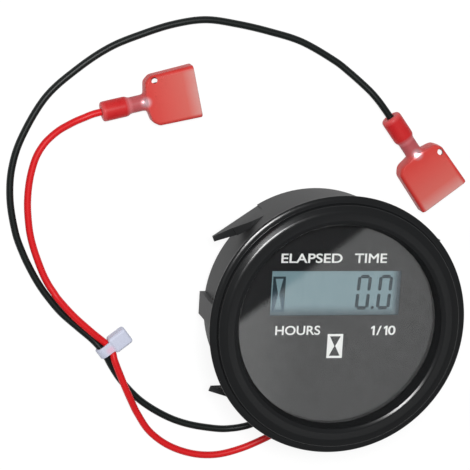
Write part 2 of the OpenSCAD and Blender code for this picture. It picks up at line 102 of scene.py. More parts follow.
def extruded_pvc(name, colour, shade):
    """PVC insulation: even colour with slight clouding, and a soft gloss broken by die lines."""
    material, tree, shader, place = start_finish(name, 0.42, 1.53)
    cloud = add_node(tree, "ShaderNodeTexNoise", {"Vector": place, "Scale": 220, "Detail": 3})
    tint = mix_tones(tree, cloud.outputs["Fac"], shade, colour)
    ripple = add_node(tree, "ShaderNodeTexNoise", {"Vector": place, "Scale": 1400, "Detail": 2})
    bump = add_node(
        tree, "ShaderNodeBump", {"Height": ripple.outputs["Fac"], "Strength": 0.05, "Distance": 0.00003}
    )
    tree.links.new(tint, shader.inputs["Base Color"])
    tree.links.new(bump.outputs["Normal"], shader.inputs["Normal"])
    shader.inputs["Specular IOR Level"].default_value = 0.25
    return material


def lay_lead(name, route, material):
    """A lead through the route's points, given in millimetres, as one smooth curve."""
    points = [Vector(p) / 1000 for p in route]
    curve = bpy.data.curves.new(name, "CURVE")
    curve.dimensions = "3D"
    curve.bevel_depth = lead_d / 2000
    curve.bevel_resolution = 6
    curve.resolution_u = 10
    curve.use_fill_caps = True
    spline = curve.splines.new("BEZIER")
    spline.bezier_points.add(len(points) - 1)
    before = [2 * points[0] - points[1]] + points[:-1]
    after = points[1:] + [2 * points[-1] - points[-2]]
    for knot, here, last, following in zip(spline.bezier_points, points, before, after):
        knot.co = here
        knot.handle_left = here - (following - last) / 6
        knot.handle_right = here + (following - last) / 6
    curve.materials.append(material)
    lead = bpy.data.objects.new(name, curve)
    scene.collection.objects.link(lead)
    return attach(lead, "root")


lead_d = 1.6
exit_angle = math.radians(258)
exit_out = Vector((math.cos(exit_angle), math.sin(exit_angle), 0))
exit_side = Vector((-math.sin(exit_angle), math.cos(exit_angle), 0))
grommet_middle = 27.2 * exit_out + Vector((0, 0, 3.2))
red_exit = grommet_middle + 3.1 * exit_side
black_exit = grommet_middle - 3.1 * exit_side
red_route = [
    red_exit, (-3.15, -28.3, 3.2), (-4.15, -29.5, 2.95), (-5.9, -30.8, 2.3), (-9.1, -33.0, 1.4),
    (-14.6, -35.5, 0.9), (-20.3, -36.8, 0.85), (-26.0, -36.4, 0.85), (-31.7, -34.3, 0.85),
    (-36.3, -30.8, 0.95), (-39.4, -26.35, 1.5), (-41.0, -23.35, 2.1), (-42.65, -19.95, 2.5),
    (-44.15, -16.55, 2.55), (-45.4, -13.55, 2.5), (-46.5, -10.65, 1.95), (-50.85, -6.95, 2.1),
    (-55.1, -3.2, 2.0), (-58.5, 0.45, 1.75), (-59.75, 2.15, 1.4), (-61.0, 4.0, 1.05), (-62.4, 6.7, 0.85),
    (-64.2, 11.25, 0.8), (-65.3, 14.9, 0.8), (-65.9, 18.5, 0.8), (-66.2, 22.1, 0.8), (-66.1, 25.7, 0.8),
    (-65.6, 29.25, 0.8), (-64.6, 32.75, 0.8), (-63.05, 35.5, 0.85), (-61.35, 37.4, 1.0),
    (-59.7, 38.85, 1.3), (-58.05, 39.95, 1.7), (-56.4, 40.95, 2.1), (-54.75, 41.75, 2.4),
    (-53.08, 42.5, 2.5), (-51.7, 42.93, 2.5), (-50.3, 43.27, 2.5),
]
black_route = [
    black_exit, (-9.4, -27.2, 3.1), (-10.6, -28.0, 2.75), (-11.95, -28.9, 2.2), (-13.6, -29.75, 1.6),
    (-16.6, -30.45, 1.05), (-20.5, -30.5, 0.9), (-27.3, -29.3, 0.85), (-33.0, -27.1, 0.8),
    (-38.8, -23.4, 0.8), (-43.2, -18.9, 0.85), (-45.6, -15.5, 1.2), (-47.85, -11.75, 1.95),
    (-50.4, -8.95, 1.4), (-53.75, -6.15, 1.2), (-57.85, -2.6, 1.1), (-60.95, 1.0, 1.0),
    (-63.05, 3.9, 0.92), (-65.0, 7.2, 0.85), (-66.9, 11.0, 0.8), (-68.7, 15.75, 0.8),
    (-70.1, 23.0, 0.8), (-69.95, 30.1, 0.8), (-67.9, 37.2, 0.8),
    (-63.0, 46.0, 0.8), (-56.2, 52.4, 0.8), (-49.3, 57.2, 0.8), (-42.2, 60.3, 0.8), (-35.2, 62.65, 0.8),
    (-28.1, 63.8, 0.8), (-20.75, 63.0, 0.8), (-13.3, 61.5, 0.8), (-5.8, 59.4, 0.8), (1.85, 55.45, 0.9),
    (5.7, 52.75, 1.2), (9.4, 49.75, 1.75), (11.3, 48.0, 2.15), (13.1, 46.0, 2.42), (15.44, 43.08, 2.5),
    (16.29, 41.97, 2.5),
]
red_pvc = extruded_pvc("red_pvc_insulation", "#e01d22", "#d4181d")
black_pvc = extruded_pvc("black_pvc_insulation", "#131918", "#0e1312")
red_lead = lay_lead("red_lead_wire", red_route, red_pvc)
black_lead = lay_lead("black_lead_wire", black_route, black_pvc)
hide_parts("red_lead")
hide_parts("black_lead")


# Case: one moulding in black ABS, a can with a rear wall, two foot arcs, four snap wings and two lugs.
# Its spark-eroded mould leaves a fine dull grain, so it looks greyer than the bezel.
def make_piece(name, bm, material):
    """A finished piece from a bmesh in millimetres: smooth, with flats kept flat, riding on the part."""
    bmesh.ops.scale(bm, vec=(0.001, 0.001, 0.001), verts=bm.verts)
    mesh = bpy.data.meshes.new(name)
    bm.to_mesh(mesh)
    bm.free()
    mesh.materials.append(material)
    mesh.shade_smooth()
    piece = bpy.data.objects.new(name, mesh)
    scene.collection.objects.link(piece)
    flats = piece.modifiers.new("flats", "WEIGHTED_NORMAL")
    flats.keep_sharp = True
    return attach(piece, "root")


case_abs, tree, shader, place = start_finish("black_abs_spark_eroded", 0.55, 1.54)
grain = add_node(tree, "ShaderNodeTexNoise", {"Vector": place, "Scale": 2600, "Detail": 2})
cloud = add_node(tree, "ShaderNodeTexNoise", {"Vector": place, "Scale": 130, "Detail": 4})
tint = mix_tones(tree, cloud.outputs["Fac"], "#222324", "#2f3031")
bump = add_node(
    tree, "ShaderNodeBump", {"Height": grain.outputs["Fac"], "Strength": 0.35, "Distance": 0.00006}
)
tree.links.new(tint, shader.inputs["Base Color"])
tree.links.new(bump.outputs["Normal"], shader.inputs["Normal"])
shader.inputs["Specular IOR Level"].default_value = 0.38
bm = bmesh.new()
bm.from_mesh(nodes["case"].data)
bmesh.ops.scale(bm, vec=(1000, 1000, 1000), verts=bm.verts)
bmesh.ops.remove_doubles(bm, verts=bm.verts, dist=0.001)
# In the photo the two left wings stand about a millimetre off their places in the CAD
upper_tip = [v for v in bm.verts if v.co.xy.length > 28 and v.co.x < 0 < v.co.y]
lower_blade = [v for v in bm.verts if v.co.xy.length > 27.2 and v.co.x < 0 and v.co.y < -8]
lower_tip = [v for v in lower_blade if v.co.xy.length > 29.5]
bmesh.ops.translate(bm, vec=(-0.9, 0.7, 0), verts=upper_tip)
bmesh.ops.translate(bm, vec=(0.15, -0.9, 0), verts=lower_blade)
# The wings run out to narrow points
tip_top = max(v.co.z for v in upper_tip)
tip_pivot = Matrix.Translation((0, 0, -tip_top))
bmesh.ops.scale(bm, vec=(1, 1, 0.35), space=tip_pivot, verts=upper_tip + lower_tip)
# The lugs reach up to 2 mm below the bezel, where the panel is
lug_low = 9.5
lug_high = 19.6
lugs = [v for v in bm.verts if abs(v.co.x) > 25.5 and abs(v.co.y) < 4]
lug_tops = [v for v in lugs if abs(v.co.z - lug_low) < 0.01]
bmesh.ops.translate(bm, vec=(0, 0, lug_high - lug_low), verts=lug_tops)
bmesh.ops.dissolve_limit(bm, angle_limit=math.radians(1), verts=bm.verts, edges=bm.edges)
outer_edges = [e for e in bm.edges if e.is_manifold and min(v.co.xy.length for v in e.verts) > 23.6]
outer_edges = [e for e in outer_edges if e.calc_face_angle() > math.radians(25)]
bmesh.ops.bevel(
    bm,
    geom=outer_edges,
    offset=0.18,
    segments=2,
    profile=0.5,
    affect="EDGES",
    material=-1,
    clamp_overlap=True,
)
case = make_piece("case_moulding", bm, case_abs)
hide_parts("case")


# Grommet and lead tails: a rubber plug in the case's wall, and the leads' ends on their way to the board.
# The plug is moulded nitrile rubber, dull and black.
def dress(name, material):
    """Gives a CAD node its material."""
    for slot in nodes[name].material_slots:
        slot.material = material


nitrile, tree, shader, place = start_finish("nitrile_rubber", 0.7, 1.52)
cloud = add_node(tree, "ShaderNodeTexNoise", {"Vector": place, "Scale": 900, "Detail": 3})
tint = mix_tones(tree, cloud.outputs["Fac"], "#141516", "#1f2021")
tree.links.new(tint, shader.inputs["Base Color"])
dress("lead_grommet", nitrile)
dress("red_lead_tail", red_pvc)
dress("black_lead_tail", black_pvc)


# Board: round glass-epoxy laminate under green solder mask, with its soldered components.
# It hangs on four screws under the display carrier.
def speckled(name, low, high, roughness, ior, size, metallic=0.0, specular=0.5):
    """A finish whose colour wavers between two shades in patches of the given size in millimetres."""
    material, tree, shader, place = start_finish(name, roughness, ior)
    patch = add_node(tree, "ShaderNodeTexNoise", {"Vector": place, "Scale": 1000 / size, "Detail": 3})
    tint = mix_tones(tree, patch.outputs["Fac"], low, high)
    tree.links.new(tint, shader.inputs["Base Color"])
    shader.inputs["Metallic"].default_value = metallic
    shader.inputs["Specular IOR Level"].default_value = specular
    return material


dress("circuit_board", speckled("fr4_green_solder_mask", "#1b5a34", "#236b3f", 0.4, 1.55, 0.8))
chip_epoxy = speckled("black_chip_epoxy", "#18191a", "#26282a", 0.55, 1.56, 0.3)
for chip in ("controller_chip", "memory_chip", "input_diode", "chip_resistors"):
    dress(chip, chip_epoxy)
nickel_steel = speckled("nickel_plated_steel", "#b9babd", "#c9cacc", 0.28, 1.5, 0.6, 1.0)
for bright in ("quartz_crystal", "lithium_cell", "cell_tabs", "frame_screws"):
    dress(bright, nickel_steel)
dress("filter_capacitor", speckled("drawn_aluminium_can", "#b4b8bc", "#c6cacd", 0.35, 1.5, 0.5, 1.0))
dress("surge_varistor", speckled("blue_epoxy_dip", "#1f4f9c", "#2a61b4", 0.25, 1.56, 1.2))

# Display carrier: natural ABS frame that holds the glass, the rubber contact strips and the board.
# The strips are layered carbon and silicone rubber, clamped between glass and board.
dress("display_frame", speckled("natural_abs", "#d5d4cb", "#e0dfd7", 0.5, 1.54, 1.5))
zebra_rubber, tree, shader, place = start_finish("layered_silicone_rubber", 0.6, 1.42)
layers = add_node(tree, "ShaderNodeTexWave", {"Vector": place, "Scale": 320}, bands_direction="X")
tint = mix_tones(tree, layers.outputs["Fac"], "#1a1b1c", "#7d8083")
tree.links.new(tint, shader.inputs["Base Color"])
dress("upper_contact_strip", zebra_rubber)
dress("lower_contact_strip", zebra_rubber)


# Display cell: two sheets of glass with liquid crystal between them and a pale reflector behind.
# The glass is polished; its right and lower rims are painted darker and bluer, a painted shade from the
# dial's edge.
def fade(tree, value, span, levels):
    """A smooth change from one level to another while a value runs over a span."""
    limits = {"From Min": span[0], "From Max": span[1], "To Min": levels[0], "To Max": levels[1]}
    inputs = {"Value": value, **limits}
    change = add_node(tree, "ShaderNodeMapRange", inputs, interpolation_type="SMOOTHSTEP")
    return change.outputs["Result"]


lcd_glass, tree, shader, place = start_finish("reflective_lcd_glass", 0.15, 1.52)
axes = add_node(tree, "ShaderNodeSeparateXYZ", {"Vector": place})
drawn = add_node(tree, "ShaderNodeMapping", {"Vector": place, "Scale": (900.0, 60.0, 1.0)})
streaks = add_node(tree, "ShaderNodeTexNoise", {"Vector": drawn.outputs["Vector"], "Scale": 1.0, "Detail": 3})
tint = mix_tones(tree, streaks.outputs["Fac"], "#6e888f", "#7a949b")
# Painted shade: the right and lower rims darken and turn bluer, as if under the dial's edge
right_rim_painted_shade = fade(tree, axes.outputs["X"], (0.0124, 0.0148), (0.0, 0.95))
lower_rim_painted_shade = fade(tree, axes.outputs["Y"], (0.0042, 0.0011), (0.0, 0.75))
rim = add_node(tree, "ShaderNodeMath", {0: right_rim_painted_shade, 1: lower_rim_painted_shade}, operation="MAXIMUM")
shaded = mix_tones(tree, rim.outputs["Value"], tint, "#0f2431")
tree.links.new(shaded, shader.inputs["Base Color"])
dress("lcd_cell", lcd_glass)

# Display figures: liquid crystal that has turned dark, "0.0" and an hourglass sign.
# They lie in the glass, and are drawn as a film 0.02 mm thick on its face; the sign pales downwards.
segment_dark = speckled("lcd_segment_dark", "#0c242e", "#142f3a", 0.3, 1.52, 1.5, specular=0.1)
film_z = 19.5
film_t = 0.02


def raise_film(bm):
    """Gives flat faces the thickness of a film."""
    grown = bmesh.ops.extrude_face_region(bm, geom=bm.faces[:])["geom"]
    bmesh.ops.translate(bm, vec=(0, 0, film_t), verts=[v for v in grown if isinstance(v, bmesh.types.BMVert)])
    bmesh.ops.recalc_face_normals(bm, faces=bm.faces)


def add_bar(bm, middle, size, corner):
    """One display segment: a bar with its corners cut off."""
    bar = bmesh.ops.create_grid(bm, x_segments=1, y_segments=1, size=0.5)["verts"]
    bmesh.ops.scale(bm, vec=(size[0], size[1], 1), verts=bar)
    bmesh.ops.translate(bm, vec=(middle[0], middle[1], film_z), verts=bar)
    bmesh.ops.bevel(bm, geom=bar, offset=corner, segments=1, profile=0.5, affect="VERTICES", material=-1)


bm = bmesh.new()
for left in (4.98, 9.9):
    add_bar(bm, (left + 1.42, 10.15), (2.0, 0.8), 0.25)
    add_bar(bm, (left + 1.42, 2.98), (2.0, 0.8), 0.25)
    for across in (0.2, 2.64):
        add_bar(bm, (left + across, 8.5), (0.76, 3.1), 0.22)
        add_bar(bm, (left + across, 4.65), (0.76, 3.1), 0.22)
lean = Matrix.Identity(4)
lean[0][1] = 0.055
bmesh.ops.translate(bm, vec=(0, -6.5, 0), verts=bm.verts)
bmesh.ops.transform(bm, matrix=lean, verts=bm.verts)
bmesh.ops.translate(bm, vec=(0, 6.5, 0), verts=bm.verts)
add_bar(bm, (8.72, 3.06), (0.66, 0.66), 0.16)
raise_film(bm)
make_piece("display_figures", bm, segment_dark)


def hourglass_sign(name, left, right, bottom, top, bar, margin, neck, z, material):
    """A framed hourglass sign: what is left solid between the frame and the open hourglass."""
    bm = bmesh.new()
    middle = (left + right) / 2
    waist = (bottom + top) / 2
    upper = top - bar
    lower = bottom + bar
    inner_left = left + margin
    inner_right = right - margin
    outlines = [
        [
            (left, upper), (inner_left, upper), (inner_right, upper),
            (right, upper), (right, top), (left, top),
        ],
        [
            (left, bottom), (right, bottom), (right, lower),
            (inner_right, lower), (inner_left, lower), (left, lower),
        ],
        [(left, lower), (inner_left, lower), (middle - neck, waist), (inner_left, upper), (left, upper)],
        [(right, upper), (inner_right, upper), (middle + neck, waist), (inner_right, lower), (right, lower)],
    ]
    for outline in outlines:
        bm.faces.new([bm.verts.new((x, y, z)) for x, y in outline])
    bmesh.ops.remove_doubles(bm, verts=bm.verts, dist=0.001)
    raise_film(bm)
    return make_piece(name, bm, material)


pale_sign, tree, shader, place = start_finish("lcd_segment_paling", 0.3, 1.52)
axes = add_node(tree, "ShaderNodeSeparateXYZ", {"Vector": place})
paling = fade(tree, axes.outputs["Y"], (0.0042, 0.0076), (0.0, 1.0))
tint = mix_tones(tree, paling, "#35505f", "#12262e")
tree.links.new(tint, shader.inputs["Base Color"])
hourglass_sign("display_hourglass", -14.45, -11.55, 2.15, 10.2, 0.5, 0.58, 0.12, film_z, pale_sign)

# Dial: polyester sheet printed matt black, with the window left open, glued to the display carrier.
# Its print is white screen ink: the words for what is counted, the tenths mark and an hourglass sign.
dial_black = speckled("matt_black_polyester", "#161617", "#1a1a1b", 0.6, 1.58, 0.5, specular=0.1)
bm = bmesh.new()
bm.from_mesh(nodes["dial_plate"].data)
bmesh.ops.scale(bm, vec=(1000, 1000, 1000), verts=bm.verts)
bmesh.ops.remove_doubles(bm, verts=bm.verts, dist=0.001)
window_sill = [v for v in bm.verts if v.co.xy.length < 18 and v.co.y < 3]
bmesh.ops.translate(bm, vec=(0, -0.42, 0), verts=window_sill)
dial = make_piece("dial_sheet", bm, dial_black)
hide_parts("dial_plate")
white_ink = speckled("white_screen_ink", "#ecece9", "#f4f4f2", 0.55, 1.5, 0.4)
dial_top = 20.2


def print_words(name, words, left, right, bottom, top):
    """Words in plain letters, fitted between the given edges in millimetres."""
    curve = bpy.data.curves.new(name, "FONT")
    curve.body = words
    curve.bevel_depth = 0.017
    curve.bevel_resolution = 0
    lettering = bpy.data.objects.new(name, curve)
    scene.collection.objects.link(lettering)
    mesh = bpy.data.meshes.new_from_object(lettering.evaluated_get(bpy.context.evaluated_depsgraph_get()))
    bpy.data.objects.remove(lettering)
    bm = bmesh.new()
    bm.from_mesh(mesh)
    bpy.data.meshes.remove(mesh)
    low = Vector([min(v.co[axis] for v in bm.verts) for axis in range(3)])
    high = Vector([max(v.co[axis] for v in bm.verts) for axis in range(3)])
    size = high - low
    bmesh.ops.translate(bm, vec=-low, verts=bm.verts)
    stretch = ((right - left) / size.x, (top - bottom) / size.y, film_t / size.z)
    bmesh.ops.scale(bm, vec=stretch, verts=bm.verts)
    bmesh.ops.translate(bm, vec=(left, bottom, dial_top), verts=bm.verts)
    return make_piece(name, bm, white_ink)


print_words("dial_print_elapsed", "ELAPSED", -13.05, 0.87, 13.4, 15.55)
print_words("dial_print_time", "TIME", 3.7, 11.12, 13.4, 15.55)
print_words("dial_print_hours", "HOURS", -13.45, -3.17, -2.93, -0.8)
print_words("dial_print_stroke", "/", 9.84, 11.04, -3.1, -0.95)
print_words("dial_print_zero", "0", 12.56, 14.31, -3.1, -0.95)
# The ones of the tenths mark have a slanted flag
one = [(0.41, 0), (0.87, 0), (0.87, 2.15), (0.5, 2.15), (0, 1.78), (0, 1.38), (0.41, 1.62)]
bm = bmesh.new()
for left in (8.59, 11.55):
    bm.faces.new([bm.verts.new((left + x, y - 3.1, dial_top)) for x, y in one])
raise_film(bm)
make_piece("dial_print_ones", bm, white_ink)
hourglass_sign("dial_print_hourglass", -1.36, 2.22, -8.28, -2.76, 0.52, 0.55, 0.1, dial_top, white_ink)

# Lens and its spacer: a flat disc of polished acrylic, clamped between a black ring and the bezel.
# It is clear, and mirrors the studio at about a twelfth of its brightness.
dress("spacer_ring", speckled("black_abs_ring", "#0d0d0e", "#121213", 0.6, 1.54, 0.8, specular=0.1))
acrylic, tree, shader, place = start_finish("polished_clear_acrylic", 0.0, 1.49)
shader.inputs["Transmission Weight"].default_value = 1.0
smear = add_node(tree, "ShaderNodeTexNoise", {"Vector": place, "Scale": 60, "Detail": 4})
wiped = mix_tones(tree, smear.outputs["Fac"], "#f4f7f7", "#fdfefe")
tree.links.new(wiped, shader.inputs["Base Color"])
# Light from the lamps and back from the dial passes straight through
path = add_node(tree, "ShaderNodeLightPath")
lighting = add_node(
    tree,
    "ShaderNodeMath",
    {0: path.outputs["Is Shadow Ray"], 1: path.outputs["Is Diffuse Ray"]},
    operation="MAXIMUM",
)
clear = add_node(tree, "ShaderNodeBsdfTransparent")
window = add_node(
    tree,
    "ShaderNodeMixShader",
    {0: lighting.outputs["Value"], 1: shader.outputs["BSDF"], 2: clear.outputs["BSDF"]},
)
tree.links.new(window.outputs["Shader"], tree.nodes["Material Output"].inputs["Surface"])
dress("lens", acrylic)

# Bezel: turned-looking ring moulded in black ABS, snapped over the case with the lens under its lip.
# It steps up from a tapered flange to a crowned ring with a bright bevel round the lens, and its satin
# surface keeps faint rings from the mould.
bezel_abs, tree, shader, place = start_finish("black_abs_satin", 0.26, 1.54)
flat_place = add_node(tree, "ShaderNodeVectorMath", {0: place, 1: (1.0, 1.0, 0.0)}, operation="MULTIPLY")
radius = add_node(tree, "ShaderNodeVectorMath", {0: flat_place.outputs["Vector"]}, operation="LENGTH")
rings = add_node(
    tree,
    "ShaderNodeTexNoise",
    {"W": radius.outputs["Value"], "Scale": 2200, "Detail": 2},
    noise_dimensions="1D",
)
grain = add_node(tree, "ShaderNodeTexNoise", {"Vector": place, "Scale": 1800, "Detail": 2})
marks = add_node(
    tree, "ShaderNodeMath", {0: rings.outputs["Fac"], 1: grain.outputs["Fac"]}, operation="ADD"
)
gloss = add_node(
    tree,
    "ShaderNodeMapRange",
    {"Value": marks.outputs["Value"], "From Min": 0.7, "From Max": 1.3, "To Min": 0.16, "To Max": 0.22},
)
bump = add_node(
    tree, "ShaderNodeBump", {"Height": marks.outputs["Value"], "Strength": 0.04, "Distance": 0.00002}
)
shader.inputs["Base Color"].default_value = hex_linear("#1a1b1c")
shader.inputs["Specular IOR Level"].default_value = 0.28
tree.links.new(gloss.outputs["Result"], shader.inputs["Roughness"])
tree.links.new(bump.outputs["Normal"], shader.inputs["Normal"])
# The section's corners: radius from the axis, height and rounding
bezel_section = [
    (25.2, 21.6, 0), (28.5, 21.6, 0.15), (29.2, 23.85, 0.22), (28.5, 24.2, 0.45), (27.65, 24.2, 0.1),
    (27.3, 25.4, 0.12), (26.0, 26.0, 0.5), (24.0, 26.0, 0.25), (23.22, 25.69, 0.15), (22.4, 23.4, 0.1),
    (25.2, 23.4, 0),
]
bm = bmesh.new()
corners = [bm.verts.new((r, 0, z)) for r, z, _ in bezel_section]
for here, following in zip(corners, corners[1:] + corners[:1]):
    bm.edges.new((here, following))
for corner, (_, _, rounding) in zip(corners, bezel_section):
    if rounding:
        bmesh.ops.bevel(
            bm, geom=[corner], offset=rounding, segments=6, profile=0.5, affect="VERTICES", material=-1
        )
outline = bm.verts[:] + bm.edges[:]
bmesh.ops.spin(
    bm, geom=outline, cent=(0, 0, 0), axis=(0, 0, 1), angle=2 * math.pi, steps=240, use_merge=True
)
bmesh.ops.remove_doubles(bm, verts=bm.verts, dist=0.0005)
bmesh.ops.recalc_face_normals(bm, faces=bm.faces)
bezel = make_piece("bezel_ring", bm, bezel_abs)
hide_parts("bezel")

# Cable tie: moulded in natural nylon, one strap round both leads, locked in its square head.
# The nylon is milky white with a cool cast, and the red lead glows through the strap.
tie_nylon, tree, shader, place = start_finish("natural_nylon", 0.5, 1.53)
cloud = add_node(tree, "ShaderNodeTexNoise", {"Vector": place, "Scale": 500, "Detail": 3})
tint = mix_tones(tree, cloud.outputs["Fac"], "#c8cde0", "#ced2e4")
apart = add_node(
    tree, "ShaderNodeVectorMath", {0: place, 1: (-0.0466, -0.0108, 0.0034)}, operation="DISTANCE"
)
glow = fade(tree, apart.outputs["Value"], (0.0003, 0.0015), (0.85, 0.0))
warmed = mix_tones(tree, glow, tint, "#e6bcd2")
tree.links.new(warmed, shader.inputs["Base Color"])
shader.inputs["Specular IOR Level"].default_value = 0.25
tie_place = Matrix.Translation((-47.15, -10.75, 1.95)) @ Matrix.Rotation(math.radians(38), 4, "Z")
strap_w = 2.4
strap_t = 0.65
hole_half = (1.8, 1.05)
bm = bmesh.new()
band = bmesh.ops.create_circle(bm, cap_ends=False, segments=48, radius=hole_half[1])["verts"]
bmesh.ops.rotate(bm, cent=(0, 0, 0), matrix=Matrix.Rotation(math.radians(3.75), 3, "Z"), verts=band)
bmesh.ops.rotate(bm, cent=(0, 0, 0), matrix=Matrix.Rotation(math.pi / 2, 3, "X"), verts=band)
for side in (1, -1):
    half = [v for v in band if v.co.x * side > 0]
    bmesh.ops.translate(bm, vec=(side * (hole_half[0] - hole_half[1]), 0, 0), verts=half)
bmesh.ops.translate(bm, vec=(0, -strap_w / 2, 0), verts=band)
wide = bmesh.ops.extrude_edge_only(bm, edges=bm.edges[:])["geom"]
bmesh.ops.translate(bm, vec=(0, strap_w, 0), verts=[v for v in wide if isinstance(v, bmesh.types.BMVert)])
bmesh.ops.recalc_face_normals(bm, faces=bm.faces)
bmesh.ops.solidify(bm, geom=bm.faces[:], thickness=-strap_t)
bmesh.ops.recalc_face_normals(bm, faces=bm.faces)
rims = [e for e in bm.edges if e.is_manifold and e.calc_face_angle() > math.radians(60)]
bmesh.ops.bevel(bm, geom=rims, offset=0.18, segments=3, profile=0.5, affect="EDGES", material=-1)
bmesh.ops.transform(bm, matrix=tie_place, verts=bm.verts)
tie = make_piece("cable_tie_strap", bm, tie_nylon)


def combine(piece, tool, operation):
    """Joins a tool's solid to a piece, or cuts it away, and removes the tool."""
    step = piece.modifiers.new("combine", "BOOLEAN")
    step.operation = operation
    step.object = tool
    piece.modifiers.move(1, 0)
    piece.data = bpy.data.meshes.new_from_object(
        piece.evaluated_get(bpy.context.evaluated_depsgraph_get())
    )
    piece.modifiers.remove(step)
    bpy.data.objects.remove(tool)


for middle, size, rounding in (((3.4, 0, 0.2), (4.7, 3.9, 3.3), 0.7), ((2.0, 0, 1.18), (3.0, 2.3, 1.0), 0.2)):
    bm = bmesh.new()
    block = bmesh.ops.create_cube(bm, size=1)["verts"]
    bmesh.ops.scale(bm, vec=size, verts=block)
    bmesh.ops.translate(bm, vec=middle, verts=block)
    bmesh.ops.bevel(
        bm, geom=bm.edges[:], offset=rounding, segments=5, profile=0.5, affect="EDGES", material=-1
    )
    bmesh.ops.transform(bm, matrix=tie_place, verts=bm.verts)
    combine(tie, make_piece("tie_head", bm, tie_nylon), "UNION")
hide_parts("cable_tie")

# Connectors: push-on sockets of folded tinned brass, crimped to the leads inside sleeves of red nylon.
# Each sleeve has a round wire end, a narrow neck and a flat housing with an open mouth and a small hole.
brass = speckled("tinned_brass", "#bdb8ac", "#cfcbc2", 0.3, 1.5, 0.7, 1.0)
dress("red_lead_terminal", brass)
dress("black_lead_terminal", brass)


def red_nylon(name, wire_end, heading, scale):
    """Cloudy nylon: deep red where it is thick, paler over the crimp and whitish at the thin mouth, with
    painted highlights at the rim, the step and the neck.
    """
    material, tree, shader, place = start_finish(name, 0.4, 1.53)
    own = add_node(
        tree,
        "ShaderNodeMapping",
        {
            "Vector": place,
            "Location": (wire_end[0] / 1000, wire_end[1] / 1000, 0.0025),
            "Rotation": (0, 0, math.radians(heading)),
            "Scale": (scale, scale, scale),
        },
        vector_type="TEXTURE",
    )
    axes = add_node(tree, "ShaderNodeSeparateXYZ", {"Vector": own.outputs["Vector"]})
    along = add_node(tree, "ShaderNodeMapRange", {"Value": axes.outputs["X"], "From Max": 0.0228})
    tones = add_node(tree, "ShaderNodeValToRGB", {"Fac": along.outputs["Result"]})
    stops = tones.color_ramp.elements
    for station, tone in sleeve_tones_and_highlights[1:-1]:
        stop = stops.new(station / 22.8)
        stop.color = hex_linear(tone)
    stops[0].color = hex_linear(sleeve_tones_and_highlights[0][1])
    stops[-1].color = hex_linear(sleeve_tones_and_highlights[-1][1])
    across = add_node(tree, "ShaderNodeMath", {0: axes.outputs["Y"]}, operation="ABSOLUTE")
    side = fade(tree, across.outputs["Value"], (0.0049, 0.0059), (0.0, 0.9))
    deepened = mix_tones(tree, side, tones.outputs["Color"], "#cf2b28")
    cloud = add_node(tree, "ShaderNodeTexNoise", {"Vector": place, "Scale": 260, "Detail": 3})
    haze = add_node(
        tree, "ShaderNodeMapRange", {"Value": cloud.outputs["Fac"], "From Min": 0.3, "To Max": 0.3}
    )
    clouded = mix_tones(tree, haze.outputs["Result"], deepened, "#de5a52")
    # A pale metallic patch on the neck where the flash glints: partly the crimp's flared end seen through the
    # thin nylon, partly a painted highlight
    apart = add_node(
        tree,
        "ShaderNodeVectorMath",
        {0: own.outputs["Vector"], 1: (0.0104, 0.0002, 0.002)},
        operation="DISTANCE",
    )
    neck_glint_patch = fade(tree, apart.outputs["Value"], (0.0002, 0.0017), (0.7, 0.0))
    painted_glint_tone = mix_tones(tree, neck_glint_patch, clouded, "#e8d2da")
    tree.links.new(painted_glint_tone, shader.inputs["Base Color"])
    tree.links.new(neck_glint_patch, shader.inputs["Metallic"])
    shader.inputs["Specular IOR Level"].default_value = 0.15
    return material


# Tones along the sleeve, by distance from the wire end in millimetres: pale rim, deep red barrel, pale step,
# greyer neck with the crimp inside, and a housing that fades towards its mouth; the pale rim and the pale
# step are painted highlights
sleeve_tones_and_highlights = [
    (0.0, "#d4585a"), (1.2, "#c72428"), (5.6, "#c52226"), (6.6, "#cf757a"), (7.4, "#b1555a"),
    (9.2, "#b65a5f"), (11.2, "#d1413c"), (19.8, "#d2675e"), (22.8, "#d39a94"),
]
# Stations along the sleeve: distance from the wire end, corner radius, and the section's half flats
sleeve_stations = [
    (1.6, 0.84, 0, 0), (0.05, 0.9, 0, 0), (0.0, 1.3, 0, 0), (0.02, 1.8, 0, 0), (0.14, 2.1, 0, 0),
    (0.4, 2.3, 0, 0), (0.8, 2.35, 0, 0), (5.4, 2.35, 0, 0), (5.9, 2.3, 0, 0), (6.3, 2.13, 0, 0),
    (6.6, 1.96, 0, 0), (7.0, 1.9, 0, 0), (9.3, 1.9, 0, 0), (9.6, 1.91, 0, 0), (9.9, 1.93, 0.02, 0.03),
    (10.2, 1.95, 0.1, 0.1), (10.45, 1.9, 0.45, 0.22), (10.65, 1.72, 1.31, 0.45), (10.85, 1.45, 2.4, 0.8),
    (11.0, 1.2, 3.3, 1.08), (11.2, 1.05, 3.8, 1.25), (11.7, 1.0, 4.3, 1.3), (12.4, 1.0, 4.8, 1.3),
    (12.9, 1.0, 4.95, 1.3), (22.5, 1.0, 5.2, 1.3), (22.72, 0.92, 5.2, 1.3), (22.8, 0.75, 5.2, 1.3),
    (22.8, 0.55, 5.2, 1.3), (22.7, 0.45, 5.2, 1.3), (22.4, 0.4, 5.2, 1.3), (12.9, 0.4, 4.95, 1.3),
    (11.9, 0.35, 3.9, 1.15), (11.6, 0.3, 1.3, 0.5),
]


